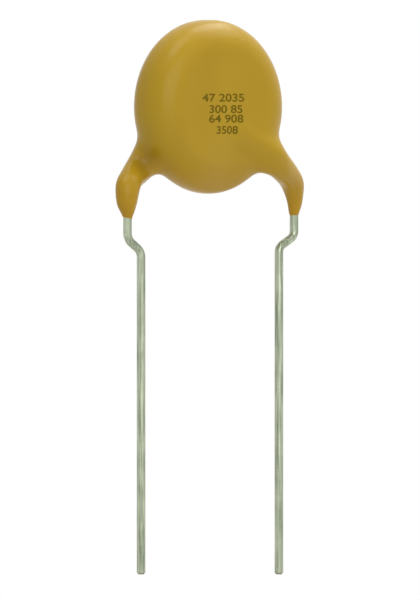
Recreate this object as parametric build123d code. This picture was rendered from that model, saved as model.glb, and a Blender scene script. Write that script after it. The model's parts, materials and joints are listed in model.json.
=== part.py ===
"""Radial disc capacitor: a coated ceramic disc with two kinked wire leads.

Millimetres. The origin is midway between the leads, on the plane of the board that they
stand in. X runs along the line of the leads, the printed face looks towards -Y, Z is up.
"""
import math
import os

from build123d import *

# Ceramic disc and its silver electrodes
ceramic_diameter = 9.8
ceramic_thickness = 2.2
ceramic_edge_break = 0.12
electrode_margin = 0.5
electrode_thickness = 0.05

# Epoxy over the disc
coat_rim_wall = 1.1
coat_face_wall = 0.9
rim_flat_width = 0.4
body_clearance = 4.5
body_diameter = ceramic_diameter + 2 * coat_rim_wall
body_thickness = ceramic_thickness + 2 * coat_face_wall

# Wire leads
lead_spacing = 12.5
lead_diameter = 0.6
lead_length_below_board = 21.75
lead_tip_break = 0.12
shoulder_rise = 0.7
shoulder_bend_radius = 2.2
face_entry_angle = 34.0
face_entry_bend_radius = 3.0
lead_end_overrun = 0.5
lead_end_drop = 1.15

# Each lead stands out past the rim and is kinked back to the pitch of the board
disc_offset = 0.18
front_kink_foot_height = 0.81
front_kink_rise = 0.78
front_lead_reach = 1.8
front_kink_bend_radius = 0.6
rear_kink_foot_height = 0.51
rear_kink_rise = 0.86
rear_lead_reach = 1.3
rear_kink_bend_radius = 0.8

# Solder that holds each lead to its electrode
solder_film = 0.02
solder_length = 5.6
solder_width = 1.8
solder_height = 0.7
solder_slope_share = 0.55
solder_setback = 2.2

# Coating drawn down over the leads as the body is dipped
coat_tip_wall = 0.03
leg_width = 1.9
leg_ridge_height = 0.32
leg_blend_share = 0.42
front_coat_drop = 1.53
rear_coat_drop = 1.67

# Sections of a coated leg, as shares: how far along the covered lead, how much of the
# full width and depth over the bare tip, and how far the middle hangs under the wire
front_section_shares = [
    (0.000, 0.00, 0.00, 0.00),
    (0.050, 0.16, 0.20, 0.00),
    (0.100, 0.40, 0.45, 0.00),
    (0.160, 0.68, 0.72, 0.00),
    (0.230, 0.92, 0.92, -0.04),
    (0.310, 1.08, 1.00, -0.02),
    (0.400, 1.28, 1.02, 0.14),
    (0.500, 1.48, 0.98, 0.24),
    (0.620, 1.76, 0.90, 0.20),
    (0.760, 1.80, 0.76, 0.10),
    (0.890, 1.45, 0.54, 0.00),
    (1.000, 0.80, 0.00, 0.00),
]
rear_section_shares = [
    (0.000, 0.00, 0.00, 0.00),
    (0.040, 0.28, 0.34, 0.00),
    (0.100, 0.66, 0.70, 0.00),
    (0.160, 0.86, 0.88, 0.00),
    (0.230, 0.98, 0.96, 0.00),
    (0.310, 1.18, 1.00, 0.14),
    (0.400, 1.42, 1.02, 0.36),
    (0.500, 1.50, 0.98, 0.32),
    (0.620, 1.76, 0.90, 0.20),
    (0.760, 1.80, 0.76, 0.10),
    (0.890, 1.45, 0.54, 0.00),
    (1.000, 0.80, 0.00, 0.00),
]


def to_rear(shape):
    """The same shape on the other side of the body, turned about the vertical."""
    return Rot(0, 0, 180) * shape


def body_centre_height():
    """Height of the disc's centre over the board."""
    return body_clearance + body_diameter / 2


def body_form():
    """Thick disc on edge with its rim rounded over, as the dipped body is."""
    disc = disc_on_edge(body_diameter, body_thickness, 0)
    rim_radius = (body_thickness - rim_flat_width) / 2
    return fillet(disc.edges().filter_by(GeomType.CIRCLE), rim_radius)


def disc_on_edge(diameter, thickness, middle):
    """A flat disc that stands on edge, with its middle plane at a given Y."""
    return Pos(0, middle, body_centre_height()) * Rot(90, 0, 0) * Cylinder(diameter / 2, thickness)


def lead_plane():
    """Distance from the body's middle plane to the wire that lies on an electrode."""
    return ceramic_thickness / 2 + electrode_thickness + solder_film + lead_diameter / 2


def lead_corners(board_x, kink_foot_height, kink_rise, reach):
    """Corners of a lead on the front side, from its cut end to its end on the disc."""
    upper_x = body_diameter / 2 + reach
    entry = math.radians(face_entry_angle)
    entry_x = body_diameter / 2 * math.cos(entry)
    entry_z = body_centre_height() - body_diameter / 2 * math.sin(entry)
    return [
        Vector(board_x, 0, -lead_length_below_board),
        Vector(board_x, 0, kink_foot_height),
        Vector(upper_x, 0, kink_foot_height + kink_rise),
        Vector(upper_x, 0, body_clearance + shoulder_rise),
        Vector(entry_x, -lead_plane(), entry_z),
        Vector(-lead_end_overrun, -lead_plane(), body_centre_height() - lead_end_drop),
    ]


def lead_form(corners, kink_bend_radius):
    """Round wire bent through its corners, with a broken edge at the cut end."""
    bends = [kink_bend_radius, kink_bend_radius, shoulder_bend_radius, face_entry_bend_radius]
    path = FilletPolyline(*corners, radius=bends)
    section = Plane(origin=path @ 0, z_dir=path % 0) * Circle(lead_diameter / 2)
    wire = sweep(section, path=path)
    cut_end = wire.edges().sort_by(Axis.Z)[0]
    return chamfer(cut_end, lead_tip_break)


def leg_form(corners, coat_drop, section_shares):
    """Coating drawn down one lead, thin at its tip and full at the shoulder."""
    shoulder = corners[3]
    tip = Vector(shoulder.X, shoulder.Y, body_clearance - coat_drop)
    path = FilletPolyline(tip, *corners[3:], radius=[shoulder_bend_radius, face_entry_bend_radius])
    tip_radius = lead_diameter / 2 + coat_tip_wall
    full_depth = body_thickness / 2 + leg_ridge_height - lead_plane()
    sections = []
    for along_share, width_share, depth_share, sag_share in section_shares:
        tangent = path % along_share
        across = tangent.cross(Vector(0, 1, 0)).normalized()
        middle = path @ along_share + across * (leg_width / 2 * sag_share)
        width = tip_radius + (leg_width / 2 - tip_radius) * width_share
        depth = tip_radius + (full_depth - tip_radius) * depth_share
        sections.append(Plane(origin=middle, x_dir=across, z_dir=tangent) * Ellipse(width, depth))
    return loft(sections)


def coated_form(front_corners, rear_corners):
    """Outer form of the whole coating: body and legs, with their joins blended."""
    body = body_form()
    front_leg = leg_form(front_corners, front_coat_drop, front_section_shares)
    rear_leg = to_rear(leg_form(rear_corners, rear_coat_drop, rear_section_shares))
    joined = body + front_leg + rear_leg
    joins = new_edges(body, front_leg, rear_leg, combined=joined)
    return fillet(joins, leg_width * leg_blend_share)


def ceramic_form():
    """Barium titanate disc with its sharp edges broken."""
    disc = disc_on_edge(ceramic_diameter, ceramic_thickness, 0)
    rims = disc.edges().filter_by(GeomType.CIRCLE)
    return chamfer(rims, ceramic_edge_break)


def electrode_form():
    """Silver layer fired on the front face of the ceramic."""
    middle = -(ceramic_thickness + electrode_thickness) / 2
    return disc_on_edge(ceramic_diameter - 2 * electrode_margin, electrode_thickness, middle)


def solder_form(corners, lead):
    """Run of solder that buries the wire where it lies on the front electrode."""
    entry, end = corners[4], corners[5]
    along = (end - entry).normalized()
    seat = ceramic_thickness / 2 + electrode_thickness
    middle = end - along * solder_setback
    on_electrode = Plane(origin=(middle.X, -seat, middle.Z), x_dir=along, z_dir=(0, -1, 0))
    bead = extrude(on_electrode * SlotOverall(solder_length, solder_width), solder_height)
    crown = bead.faces().sort_by(Axis.Y)[0]
    return chamfer(crown.edges(), solder_height * solder_slope_share) - lead


def main():
    """Builds every piece and writes each one to its own file."""
    front_x = lead_spacing / 2 + disc_offset
    rear_x = lead_spacing / 2 - disc_offset
    front_corners = lead_corners(front_x, front_kink_foot_height, front_kink_rise, front_lead_reach)
    rear_corners = lead_corners(rear_x, rear_kink_foot_height, rear_kink_rise, rear_lead_reach)
    front_wire = lead_form(front_corners, front_kink_bend_radius)
    rear_wire = lead_form(rear_corners, rear_kink_bend_radius)
    pieces = {
        "ceramic_disc": ceramic_form(),
        "front_electrode": electrode_form(),
        "rear_electrode": to_rear(electrode_form()),
        "front_solder_joint": solder_form(front_corners, front_wire),
        "rear_solder_joint": to_rear(solder_form(rear_corners, rear_wire)),
        "front_lead": front_wire,
        "rear_lead": to_rear(rear_wire),
    }
    coating = coated_form(front_corners, rear_corners)
    for piece in pieces.values():
        coating = coating - piece
    pieces["epoxy_coating"] = coating
    os.makedirs("parts", exist_ok=True)
    for name, piece in pieces.items():
        export_step(Pos(-disc_offset, 0, 0) * piece, f"parts/{name}.step")


main()
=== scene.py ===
"""Radial disc capacitor in metres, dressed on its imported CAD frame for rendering."""
import json
import math

import bpy
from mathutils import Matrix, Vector

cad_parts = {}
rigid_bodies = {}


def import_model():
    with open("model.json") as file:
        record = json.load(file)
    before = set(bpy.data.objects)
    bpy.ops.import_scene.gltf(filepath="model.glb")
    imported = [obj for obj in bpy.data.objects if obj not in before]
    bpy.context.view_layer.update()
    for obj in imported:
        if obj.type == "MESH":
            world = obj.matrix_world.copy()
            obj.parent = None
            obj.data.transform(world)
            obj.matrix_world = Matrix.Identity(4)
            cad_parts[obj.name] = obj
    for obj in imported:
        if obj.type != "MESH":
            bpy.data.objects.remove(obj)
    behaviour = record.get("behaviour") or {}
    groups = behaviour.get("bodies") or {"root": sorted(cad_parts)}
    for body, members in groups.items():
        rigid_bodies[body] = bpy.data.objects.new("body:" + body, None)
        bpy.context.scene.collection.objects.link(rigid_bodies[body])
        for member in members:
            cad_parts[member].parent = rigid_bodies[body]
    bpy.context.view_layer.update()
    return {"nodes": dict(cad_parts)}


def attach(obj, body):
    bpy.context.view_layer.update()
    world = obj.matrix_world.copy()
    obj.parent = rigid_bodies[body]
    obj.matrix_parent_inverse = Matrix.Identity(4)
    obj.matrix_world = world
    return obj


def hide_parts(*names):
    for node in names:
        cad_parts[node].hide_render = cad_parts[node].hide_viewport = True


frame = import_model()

bpy.ops.object.select_all(action="DESELECT")


# Epoxy coating
# A dipped and cured skin of filled ochre epoxy over the ceramic disc. It runs down both
# wires as it drips, so it ends there in two tapering, more orange tips.
MERGE_DISTANCE = 0.000001
TIP_RIM_HEIGHTS = {"front": 0.00297, "rear": 0.00283}
TIP_MIDDLES = {"front": 0.00762, "rear": 0.00748}
RIM_TOLERANCE = 0.00002
FLAT_ENOUGH = 0.9
TIP_REACH_DOWN_WIRE = 0.00001
TIP_UNEVENNESS = {"front": 0.00004, "rear": 0.00028}
TIP_LOW_SIDE = math.radians(-10)
COATING_VOXEL = 0.00009
COATING_SMOOTHING_ROUNDS = 16


class Value:
    """One socket of a material. Arithmetic on it adds Math nodes, and node() adds any other."""

    def __init__(self, tree, socket=None):
        self.tree, self.socket = tree, socket

    def node(self, kind, settings=None, inputs=None, output=0):
        made = self.tree.nodes.new(kind)
        for name, setting in (settings or {}).items():
            setattr(made, name, setting)
        for name, given in (inputs or {}).items():
            if isinstance(given, Value):
                self.tree.links.new(given.socket, made.inputs[name])
            else:
                made.inputs[name].default_value = given
        return Value(self.tree, made.outputs[output]) if len(made.outputs) else made

    def maths(self, operation, first, second=0.0):
        return self.node("ShaderNodeMath", {"operation": operation}, {0: first, 1: second})

    def __add__(self, other):
        return self.maths("ADD", self, other)

    def __sub__(self, other):
        return self.maths("SUBTRACT", self, other)

    def __rsub__(self, other):
        return self.maths("SUBTRACT", other, self)

    def __mul__(self, other):
        return self.maths("MULTIPLY", self, other)

    def __truediv__(self, other):
        return self.maths("DIVIDE", self, other)

    __radd__, __rmul__ = __add__, __mul__

    def clamped(self):
        return self.node("ShaderNodeClamp", None, {"Value": self})

    def mixed(self, first, second):
        """Blends two colours, with this value as how much of the second there is."""
        sockets = {"Factor": self, 6: first, 7: second}
        return self.node("ShaderNodeMix", {"data_type": "RGBA"}, sockets, 2)


def new_material(name):
    """An empty material, the value that its nodes are made from, and its place in metres."""
    material = bpy.data.materials.new(name)
    material.use_nodes = True
    material.node_tree.nodes.clear()
    start = Value(material.node_tree)
    return material, start, start.node("ShaderNodeTexCoord", output="Object")


def show(start, shader):
    """Joins a finished shader to the material's output."""
    start.node("ShaderNodeOutputMaterial", None, {"Surface": shader})


def noise(start, place, scale, detail=3.0):
    """Smooth noise from 0 to 1 over a place in metres."""
    inputs = {"Vector": place, "Scale": scale, "Detail": detail, "Roughness": 0.5}
    return start.node("ShaderNodeTexNoise", None, inputs)


def merge_doubles():
    """Merges the vertices of the active piece that lie on each other."""
    bpy.ops.object.mode_set(mode="EDIT")
    bpy.ops.mesh.select_all(action="SELECT")
    bpy.ops.mesh.remove_doubles(threshold=MERGE_DISTANCE)
    bpy.ops.mesh.select_all(action="DESELECT")
    bpy.ops.object.mode_set(mode="OBJECT")


def copy_of_node(node, name):
    """A new piece with the CAD node's own surface, its loose triangles merged."""
    piece = frame["nodes"][node].copy()
    piece.data = piece.data.copy()
    piece.name = piece.data.name = name
    piece.parent = None
    for tag in list(piece.keys()):
        del piece[tag]
    bpy.context.scene.collection.objects.link(piece)
    bpy.ops.object.select_all(action="DESELECT")
    piece.select_set(True)
    bpy.context.view_layer.objects.active = piece
    bpy.ops.mesh.customdata_custom_splitnormals_clear()
    merge_doubles()
    return piece


def dress(piece, material):
    """Gives a finished piece its material and its ride on the part."""
    piece.data.materials.clear()
    piece.data.materials.append(material)
    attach(piece, "root")


def apply_modifier(piece, kind, **settings):
    """Adds one modifier with its settings and applies it at once."""
    modifier = piece.modifiers.new(kind.title(), kind)
    for name, setting in settings.items():
        setattr(modifier, name, setting)
    bpy.ops.object.modifier_apply(modifier=modifier.name)


def ramp(value, low, high):
    """Rises smoothly from 0 at low to 1 at high."""
    share = min(max((value - low) / (high - low), 0.0), 1.0)
    return share * share * (3.0 - 2.0 * share)


coating = copy_of_node("epoxy_coating", "dipped_coating")

# The bores round the wires open at two flat rims. With the rims gone, the outer skin is apart
for face in coating.data.polygons:
    at_rim = min(abs(face.center.z - height) for height in TIP_RIM_HEIGHTS.values())
    face.select = at_rim < RIM_TOLERANCE and abs(face.normal.z) > FLAT_ENOUGH
bpy.ops.object.mode_set(mode="EDIT")
bpy.ops.mesh.select_mode(type="FACE")
bpy.ops.mesh.delete(type="FACE")
bpy.ops.object.mode_set(mode="OBJECT")
top = max(coating.data.vertices, key=lambda vertex: vertex.co.z)
top.select = True
bpy.ops.object.mode_set(mode="EDIT")
bpy.ops.mesh.select_mode(type="VERT")
bpy.ops.mesh.select_linked()
bpy.ops.mesh.select_all(action="INVERT")
bpy.ops.mesh.delete(type="VERT")

# Each tip is closed a little further down, lower on one side as the dip dried
bpy.ops.mesh.select_non_manifold()
bpy.ops.mesh.extrude_region_move(
    TRANSFORM_OT_translate={"value": (0, 0, -TIP_REACH_DOWN_WIRE)})
bpy.ops.object.mode_set(mode="OBJECT")
for vertex in coating.data.vertices:
    if vertex.select:
        tip = "front" if vertex.co.x > 0 else "rear"
        turn = math.atan2(vertex.co.y, vertex.co.x - math.copysign(TIP_MIDDLES[tip], vertex.co.x))
        vertex.co.z -= TIP_UNEVENNESS[tip] * (0.5 + 0.5 * math.cos(turn - TIP_LOW_SIDE))
bpy.ops.object.mode_set(mode="EDIT")
bpy.ops.mesh.edge_face_add()
bpy.ops.mesh.select_all(action="DESELECT")
bpy.ops.object.mode_set(mode="OBJECT")
apply_modifier(coating, "REMESH", mode="VOXEL", voxel_size=COATING_VOXEL, use_smooth_shade=True)

# The faces run over into the rim with no edge, over a faint bead of epoxy that follows the
# ceramic's edge, and the swell over each wire fades inwards
DISC_CENTRE = (-0.00018, 0.0105)
BODY_RADIUS = 0.006
FLAT_RADIUS = 0.0042
CROWN_RADIUS = 0.0025
RIM_HALF_FLAT = 0.0002
RIM_ROUND = 0.0018
EDGE_BEAD_RADIUS = 0.0043
EDGE_BEAD_SPREAD = 0.0008
EDGE_BEAD_HEIGHT = 0.00007
SWELL_FADE = (0.0006, 0.0048)
for vertex in coating.data.vertices:
    reach = math.hypot(vertex.co.x - DISC_CENTRE[0], vertex.co.z - DISC_CENTRE[1])
    if reach < BODY_RADIUS:
        turned = max(reach - FLAT_RADIUS, 0.0) / (BODY_RADIUS - FLAT_RADIUS)
        sharp = RIM_HALF_FLAT + RIM_ROUND * math.sqrt(1.0 - turned ** 2)
        turned = max(reach - CROWN_RADIUS, 0.0) / (BODY_RADIUS - CROWN_RADIUS)
        soft = RIM_HALF_FLAT + RIM_ROUND * math.sqrt(1.0 - turned ** 4)
        bead = EDGE_BEAD_HEIGHT * math.exp(-((reach - EDGE_BEAD_RADIUS) / EDGE_BEAD_SPREAD) ** 2)
        swell = (abs(vertex.co.y) - sharp) * ramp(reach, *SWELL_FADE)
        vertex.co.y = math.copysign(soft + bead + swell, vertex.co.y)


def smooth_part(name, sides, foot, head, rounds):
    """Smooths the skin from sides outwards and from foot up to head, with soft limits."""
    group = coating.vertex_groups.new(name=name)
    for vertex in coating.data.vertices:
        side, level = abs(vertex.co.x), vertex.co.z
        weight = ramp(side, *sides) * ramp(level, *foot) * (1.0 - ramp(level, *head))
        if weight > 0.0:
            group.add([vertex.index], weight, "REPLACE")
    apply_modifier(coating, "SMOOTH", factor=0.5, iterations=rounds, vertex_group=name)


# The webs between disc and wires were drawn smooth as the dip ran off
smooth_part("drawn_webs", sides=(0.0015, 0.0035), foot=(0.0034, 0.0046), head=(0.0084, 0.0100),
            rounds=100)

# Below the wire on each face the dip ran off thinner. The legs sagged a little under the rim,
# drew in on the side away from the wire, and stand fuller on their outer sides
CREST_HEAD = (0.00152, 0.00890)
CREST_FALL = math.radians(27.7)
CREST_SOFTNESS = 0.00015
CREST_DEPTH = 0.20
CREST_START, CREST_END = (-0.0028, 0.0018), (0.0056, 0.0074)
BODY_HALF_THICKNESS = 0.002
SAG_DROP = 0.00022
SAG_SIDES, SAG_FOOT, SAG_HEAD = (0.0046, 0.0060), (0.0040, 0.0072), (0.0076, 0.0098)
HOLLOW_DEPTH = 0.00030
HOLLOW_START, HOLLOW_END = (0.0054, 0.0067), (0.0067, 0.0088)
HOLLOW_SIDE, HOLLOW_FOOT = (-0.0002, 0.0013), (0.0050, 0.0068)
FILL_WIDTH = 0.00012
FILL_SIDES, FILL_FOOT = (0.0072, 0.0080), (0.0029, 0.0038)
for vertex in coating.data.vertices:
    reach = math.hypot(vertex.co.x - DISC_CENTRE[0], vertex.co.z - DISC_CENTRE[1])
    side = -math.copysign(1.0, vertex.co.y)
    out = (vertex.co.x - DISC_CENTRE[0]) * side - CREST_HEAD[0]
    up = vertex.co.z - CREST_HEAD[1]
    over = out * math.sin(CREST_FALL) + up * math.cos(CREST_FALL)
    along = out * math.cos(CREST_FALL) - up * math.sin(CREST_FALL)
    below = (math.hypot(over, CREST_SOFTNESS) - over) / 2
    fade = ramp(along, *CREST_START) * (1.0 - ramp(reach, *CREST_END))
    vertex.co.y *= 1.0 - below * fade * CREST_DEPTH / BODY_HALF_THICKNESS

    sagged = ramp(abs(vertex.co.x), *SAG_SIDES) * ramp(vertex.co.z, *SAG_FOOT)
    vertex.co.z -= SAG_DROP * sagged * (1.0 - ramp(vertex.co.z, *SAG_HEAD))

    leg = math.copysign(1.0, vertex.co.x)
    drawn_in = ramp(reach, *HOLLOW_START) * (1.0 - ramp(reach, *HOLLOW_END))
    drawn_in *= (1.0 - ramp(-vertex.co.y * leg, *HOLLOW_SIDE)) * ramp(vertex.co.z, *HOLLOW_FOOT)
    vertex.co.y -= leg * HOLLOW_DEPTH * drawn_in

    filled = ramp(abs(vertex.co.x), *FILL_SIDES) * ramp(vertex.co.z, *FILL_FOOT)
    vertex.co.x += leg * FILL_WIDTH * filled
smooth_part("leg_roots", sides=(0.0040, 0.0052), foot=(0.0050, 0.0064), head=(0.0082, 0.0094),
            rounds=120)
apply_modifier(coating, "SMOOTH", factor=0.5, iterations=COATING_SMOOTHING_ROUNDS)
bpy.ops.object.shade_smooth()

# The ochre is mottled and runs in faint streaks down the body, a darker one placed down the left
# of the printed face as painted shade, and turns orange towards the tips. The hollow between the
# disc and each leg is darkened to brown as painted shade
DEEP_OCHRE, PALE_OCHRE = (0.430, 0.258, 0.010, 1), (0.480, 0.305, 0.013, 1)
TIP_ORANGE = (0.470, 0.257, 0.010, 1)
# Painted shade: the brown that the hollow between the disc and each leg is darkened to
HOLLOW_PAINTED_SHADE = (0.312, 0.178, 0.010, 1)
# The streaks are shifted so that a darker one runs down the left of the printed face as painted
# shade
STREAKS_SHIFT_TO_PAINTED_SHADE, STREAKS_STRETCH = (0.052, 0.028, 0.0), (1.0, 0.2, 0.2)
ORANGE_TOP, ORANGE_DEPTH = 0.0074, 0.0044
PAINTED_SHADE_MIDDLE, PAINTED_SHADE_REACH = (0.0058, -0.0001, 0.0068), 0.0015

ochre, start, place = new_material("ochre_epoxy_gloss")
along_streaks = start.node("ShaderNodeMapping", None, {
    "Vector": place, "Location": STREAKS_SHIFT_TO_PAINTED_SHADE, "Scale": STREAKS_STRETCH})
mottle = noise(start, place, 260.0, 2.0)
streaks = noise(start, along_streaks, 330.0, 1.0)
tone = (mottle * 0.4 + (streaks - 0.5) * 1.2 + 0.3).clamped()
height = place.node("ShaderNodeSeparateXYZ", None, {"Vector": place}, "Z")
drip = ((ORANGE_TOP - height) / ORANGE_DEPTH).clamped()

# The rear leg is the front one turned half round, so the painted shade of one hollow is turned
# onto the other
side = place.node("ShaderNodeSeparateXYZ", None, {"Vector": place}, "X")
side = side.maths("SIGN", side)
half_turn = place.node("ShaderNodeCombineXYZ", None, {"X": side, "Y": side, "Z": 1.0})
turned = place.node("ShaderNodeVectorMath", {"operation": "MULTIPLY"}, {0: place, 1: half_turn})
from_painted_shade = place.node("ShaderNodeVectorMath", {"operation": "DISTANCE"},
                         {0: turned, 1: PAINTED_SHADE_MIDDLE}, "Value")
# Painted shade, darkest in the middle of each hollow and fading out over its reach
painted_shade = (1.0 - from_painted_shade / PAINTED_SHADE_REACH).clamped()
painted_shade = painted_shade * painted_shade * (3.0 - painted_shade * 2.0)
dipped_colour = drip.mixed(tone.mixed(DEEP_OCHRE, PALE_OCHRE), TIP_ORANGE)

peel = noise(start, place, 1500.0, 2.0)
ripple = start.node("ShaderNodeBump", None, {
    "Strength": 0.10, "Distance": 0.00005, "Height": peel})
# The base colour darkens to brown in the hollows as painted shade
show(start, start.node("ShaderNodeBsdfPrincipled", None, {
    "Base Color": painted_shade.mixed(dipped_colour, HOLLOW_PAINTED_SHADE),
    "Roughness": noise(start, place, 900.0) * 0.06 + 0.27,
    "Normal": ripple, "IOR": 1.50, "Specular IOR Level": 0.22}))

dress(coating, ochre)
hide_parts("epoxy_coating")


# Wire leads
# Two soft copper wires, tinned all over and drawn smooth. They are soldered to the disc,
# kinked in a press so that they stop at the board, and cut to length.
TIP_HEIGHT = -0.02175
WIRE_RADIUS = 0.0003
WIRE_SIDES = 28
TIP_BREAK = 0.00012
CUT_END_SHARE = 0.6
DEGREES_A_STEP = 7.5
SHARP_ANGLE = math.radians(25)
LEAD_CORNERS_MM = {
    "front": ((6.25, 0, -21.75), (6.25, 0, 0.81), (7.62, 0, 1.59), (7.62, 0, 5.2),
              (4.7942, -1.47, 7.1448), (-0.68, -1.47, 9.35)),
    "rear": ((-6.25, 0, -21.75), (-6.25, 0, 0.51), (-7.48, 0, 1.37), (-7.48, 0, 5.2),
             (-5.1542, 1.47, 7.1448), (0.32, 1.47, 9.35)),
}
BEND_RADII_MM = {"front": (0.6, 0.6, 2.2, 3.0), "rear": (0.8, 0.8, 2.2, 3.0)}
DULL_TIN, BRIGHT_TIN = (0.19, 0.225, 0.155, 1), (0.48, 0.52, 0.385, 1)
CUT_COPPER = (0.72, 0.33, 0.18, 1)
CUT_TOLERANCE = 0.00001

tinned, start, place = new_material("tinned_copper_wire")
along_wire = start.node("ShaderNodeMapping", None, {"Vector": place, "Scale": (1.0, 1.0, 0.04)})
streak = noise(start, along_wire, 9000.0)
patch = noise(start, place, 700.0)
tone = ((patch - 0.5) * 0.8 + (streak - 0.5) * 2.2 + 0.5).clamped()
height = place.node("ShaderNodeSeparateXYZ", None, {"Vector": place}, "Z")
copper_cut = start.maths("LESS_THAN", height, TIP_HEIGHT + CUT_TOLERANCE)
scratches = start.node("ShaderNodeBump", None, {
    "Strength": 0.25, "Distance": 0.00001, "Height": streak})
show(start, start.node("ShaderNodeBsdfPrincipled", None, {
    "Base Color": copper_cut.mixed(tone.mixed(DULL_TIN, BRIGHT_TIN), CUT_COPPER),
    "Roughness": streak * 0.18 + 0.14, "Metallic": 1.0, "Normal": scratches}))


def run_wire(corners, bend_radii):
    """Extrudes the selected ring along the straights and spins it round the bends."""
    at, way = corners[0], (corners[1] - corners[0]).normalized()
    for corner, following, radius in zip(corners[1:], corners[2:], bend_radii):
        next_way = (following - corner).normalized()
        turn = way.angle(next_way)
        hinge = way.cross(next_way).normalized()
        bend_start = corner - way * (radius * math.tan(turn / 2))
        bpy.ops.mesh.extrude_edges_move(TRANSFORM_OT_translate={"value": bend_start - at})
        bpy.ops.mesh.spin(steps=math.ceil(math.degrees(turn) / DEGREES_A_STEP), angle=-turn,
                          center=bend_start + hinge.cross(way) * radius, axis=hinge)
        at = corner + next_way * (radius * math.tan(turn / 2))
        way = next_way
    bpy.ops.mesh.extrude_edges_move(TRANSFORM_OT_translate={"value": corners[-1] - at})
    bpy.ops.mesh.edge_face_add()


for side, corners in LEAD_CORNERS_MM.items():
    corners = [Vector(corner) / 1000 for corner in corners]
    bend_radii = [radius / 1000 for radius in BEND_RADII_MM[side]]
    foot = corners[0]
    first_ring = foot + Vector((0, 0, TIP_BREAK))
    bpy.ops.object.select_all(action="DESELECT")
    bpy.ops.mesh.primitive_circle_add(
        vertices=WIRE_SIDES, radius=WIRE_RADIUS, location=first_ring)
    wire = bpy.context.object
    wire.name = wire.data.name = f"{side}_wire_lead"
    bpy.ops.object.transform_apply(location=True)
    bpy.ops.object.mode_set(mode="EDIT")
    run_wire([first_ring] + corners[1:], bend_radii)
    bpy.ops.mesh.select_all(action="DESELECT")
    bpy.ops.object.mode_set(mode="OBJECT")

    # The cutter leaves the end with a broken edge
    for vertex in wire.data.vertices:
        vertex.select = vertex.co.z < first_ring.z + CUT_TOLERANCE
    bpy.ops.object.mode_set(mode="EDIT")
    bpy.ops.mesh.extrude_edges_move(TRANSFORM_OT_translate={"value": (0, 0, -TIP_BREAK)})
    bpy.ops.transform.resize(value=(CUT_END_SHARE, CUT_END_SHARE, 1.0), center_override=foot)
    bpy.ops.mesh.edge_face_add()
    bpy.ops.mesh.select_all(action="SELECT")
    bpy.ops.mesh.remove_doubles(threshold=MERGE_DISTANCE)
    bpy.ops.mesh.normals_make_consistent(inside=False)
    bpy.ops.mesh.select_all(action="DESELECT")
    bpy.ops.object.mode_set(mode="OBJECT")
    bpy.ops.object.shade_smooth_by_angle(angle=SHARP_ANGLE)
    dress(wire, tinned)
    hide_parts(f"{side}_lead")


# Marking on the face
# Plain numbers in dark olive ink, jetted in short rows on the cured coating. They name
# nothing, and stand where such parts carry their ratings.
MARKING_ROWS = (  # digits, middle of the row, its height, its width
    ("47 2035", -0.00048, 0.01114, 0.0038),
    ("300 85", -0.00027, 0.01035, 0.0030),
    ("64 908", -0.00025, 0.00969, 0.0031),
    ("3508", -0.00016, 0.00891, 0.0019),
)
DIGIT_SIZE = 0.00076
DIGIT_MIDDLE_SHARE = 0.35
STROKE_SWELL = 0.000012
IN_FRONT_OF_FACE = 0.0030
INK_STAND_OFF = 0.000006
FRESH_INK, WORN_INK = (0.120, 0.083, 0.003, 1), (0.215, 0.147, 0.005, 1)

ink, start, place = new_material("olive_marking_ink")
wear = noise(start, place, 2500.0)
show(start, start.node("ShaderNodeBsdfPrincipled", None, {
    "Base Color": wear.mixed(FRESH_INK, WORN_INK), "Roughness": wear * 0.2 + 0.6,
    "Specular IOR Level": 0.1}))

rows = []
for digits, row_middle, row_height, row_width in MARKING_ROWS:
    bpy.ops.object.text_add(rotation=(math.radians(90), 0, 0))
    row = bpy.context.object
    row.data.body = digits
    row.data.size = DIGIT_SIZE
    row.data.align_x = "CENTER"
    row.data.offset = STROKE_SWELL
    row.location = (row_middle, -IN_FRONT_OF_FACE, row_height - DIGIT_SIZE * DIGIT_MIDDLE_SHARE)
    bpy.context.view_layer.update()
    row.scale.x = row_width / row.dimensions.x
    bpy.ops.object.convert(target="MESH")
    bpy.ops.object.transform_apply(location=True, rotation=True, scale=True)
    rows.append(row)
for row in rows:
    row.select_set(True)
bpy.ops.object.join()
marking = bpy.context.object
marking.name = marking.data.name = "face_marking"
merge_doubles()
apply_modifier(marking, "SHRINKWRAP", target=coating, wrap_method="PROJECT", use_project_y=True,
               use_negative_direction=False, use_positive_direction=True, offset=INK_STAND_OFF,
               wrap_mode="ABOVE_SURFACE")
dress(marking, ink)


# Ceramic disc, electrodes and solder
# Inside the coating: a fired barium titanate disc with a silver layer on each face, and
# a bead of solder that holds each wire to its silver. Nothing of them shows.
def grained_finish(name, scale, detail, dark, light, roughness, metallic):
    """A material whose tone and gloss vary with its grain alone."""
    material, start, place = new_material(name)
    grain = noise(start, place, scale, detail)
    show(start, start.node("ShaderNodeBsdfPrincipled", None, {
        "Base Color": grain.mixed(dark, light), "Roughness": grain * 0.2 + roughness,
        "Metallic": metallic}))
    return material


fired = grained_finish("fired_titanate", scale=4000.0, detail=4.0, dark=(0.34, 0.22, 0.13, 1),
                       light=(0.42, 0.29, 0.18, 1), roughness=0.6, metallic=0.0)
silver = grained_finish("fired_silver_layer", scale=3000.0, detail=4.0,
                        dark=(0.60, 0.58, 0.53, 1), light=(0.68, 0.66, 0.62, 1),
                        roughness=0.4, metallic=1.0)
solder = grained_finish("solder_bead", scale=1800.0, detail=3.0, dark=(0.42, 0.42, 0.42, 1),
                        light=(0.52, 0.52, 0.52, 1), roughness=0.2, metallic=1.0)
node_finishes = {
    "ceramic_disc": fired,
    "front_electrode": silver,
    "rear_electrode": silver,
    "front_solder_joint": solder,
    "rear_solder_joint": solder,
    "epoxy_coating": ochre,
    "front_lead": tinned,
    "rear_lead": tinned,
}
for node, material in node_finishes.items():
    frame["nodes"][node].material_slots[0].material = material


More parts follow.
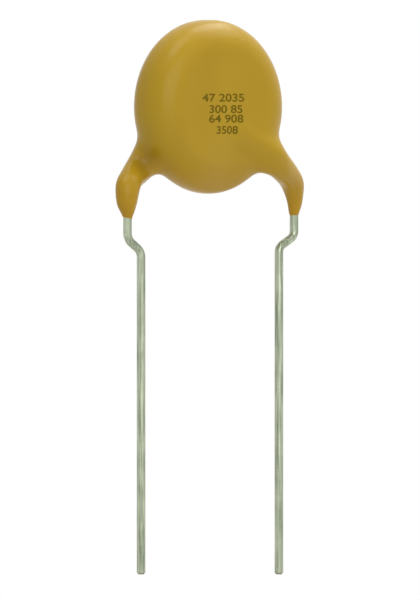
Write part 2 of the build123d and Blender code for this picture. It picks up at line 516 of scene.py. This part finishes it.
# Floor, background and lights
# A white studio table that the cut ends of the wires stand on, with soft boxes round it: two
# high on the right and behind, one overhead, and a low broad one in front of the printed face.
FLOOR_WIDTH = 6.0
TABLE_GREY, WHITE = (0.60, 0.60, 0.60, 1), (1, 1, 1, 1)
SHADOW_REACH = 0.12
GLOW_AT_PART, GLOW_GAIN = 0.36, 0.40
WORLD_STRENGTH = 0.51
AIM = Vector((0.0, 0.0, 0.004))


def seen_directly(start):
    """1 for the rays that show the background in the picture, in metal or through glass."""
    rays = ("Is Camera Ray", "Is Glossy Ray", "Is Transmission Ray")
    return sum((start.node("ShaderNodeLightPath", output=ray) for ray in rays), 0.0).clamped()


bpy.ops.mesh.primitive_plane_add(size=FLOOR_WIDTH, location=(0, 0, TIP_HEIGHT))
floor = bpy.context.object
floor.name = "studio_floor"
white, start, place = new_material("white_table")
lit = start.node("ShaderNodeBsdfDiffuse", None, {"Color": TABLE_GREY})
from_part = place.node("ShaderNodeVectorMath", {"operation": "LENGTH"}, {0: place}, "Value")
away = (from_part / SHADOW_REACH).clamped()
glow = away * away * GLOW_GAIN + GLOW_AT_PART
bright = start.node("ShaderNodeEmission", None, {"Color": seen_directly(start) * glow})
show(start, start.node("ShaderNodeAddShader", None, {0: lit, 1: bright}))
floor.data.materials.append(white)

world = bpy.data.worlds.new("studio")
bpy.context.scene.world = world
world.use_nodes = True
world.node_tree.nodes.clear()
start = Value(world.node_tree)
light = start.node("ShaderNodeBackground", None, {"Color": WHITE, "Strength": WORLD_STRENGTH})
backdrop = start.node("ShaderNodeBackground", None, {"Color": WHITE, "Strength": 1.0})
mix = start.node("ShaderNodeMixShader", None, {0: seen_directly(start), 1: light, 2: backdrop})
start.node("ShaderNodeOutputWorld", None, {"Surface": mix})


def soft_box(name, azimuth, elevation, distance, width, height, power):
    """A rectangular soft box that looks at the part; azimuth 0 is in front of the face."""
    turn, rise = math.radians(azimuth), math.radians(elevation)
    back = Vector((
        math.sin(turn) * math.cos(rise), -math.cos(turn) * math.cos(rise), math.sin(rise)))
    lamp = bpy.data.lights.new(name, "AREA")
    lamp.shape, lamp.size, lamp.size_y, lamp.energy = "RECTANGLE", width, height, power
    box = bpy.data.objects.new(name, lamp)
    box.location = AIM + back * distance
    box.rotation_euler = (-back).to_track_quat("-Z", "Y").to_euler()
    box.visible_camera = False
    bpy.context.scene.collection.objects.link(box)


soft_box("rear_box", azimuth=100, elevation=60, distance=0.22, width=0.12, height=0.14,
         power=0.195)
soft_box("right_box", azimuth=60, elevation=50, distance=0.25, width=0.12, height=0.14,
         power=0.14)
soft_box("top_box", azimuth=-60, elevation=75, distance=0.25, width=0.12, height=0.14,
         power=0.135)
soft_box("front_box", azimuth=-20, elevation=20, distance=0.25, width=0.20, height=0.16,
         power=0.165)


# Camera
# The photograph looks level from about 40 degrees to the left of the printed face, from so
# far off that both wires end at one height in it. So the camera's rays run parallel.
PICTURE_PIXELS, PIXELS_A_MM = 600, 14.5
MIDDLE_HEIGHT = -0.002822
CAMERA_DISTANCE = 0.46
AZIMUTH = math.radians(-40.5)

back = Vector((math.sin(AZIMUTH), -math.cos(AZIMUTH), 0))
eye = bpy.data.cameras.new("camera")
eye.type, eye.sensor_fit = "ORTHO", "AUTO"
eye.ortho_scale = PICTURE_PIXELS / PIXELS_A_MM / 1000
eye.clip_start, eye.clip_end = 0.01, 10.0
camera = bpy.data.objects.new("camera", eye)
camera.location = Vector((0, 0, MIDDLE_HEIGHT)) + back * CAMERA_DISTANCE
camera.rotation_euler = (-back).to_track_quat("-Z", "Y").to_euler()
bpy.context.scene.collection.objects.link(camera)
bpy.context.scene.camera = camera
bpy.context.scene.view_settings.view_transform = "Standard"
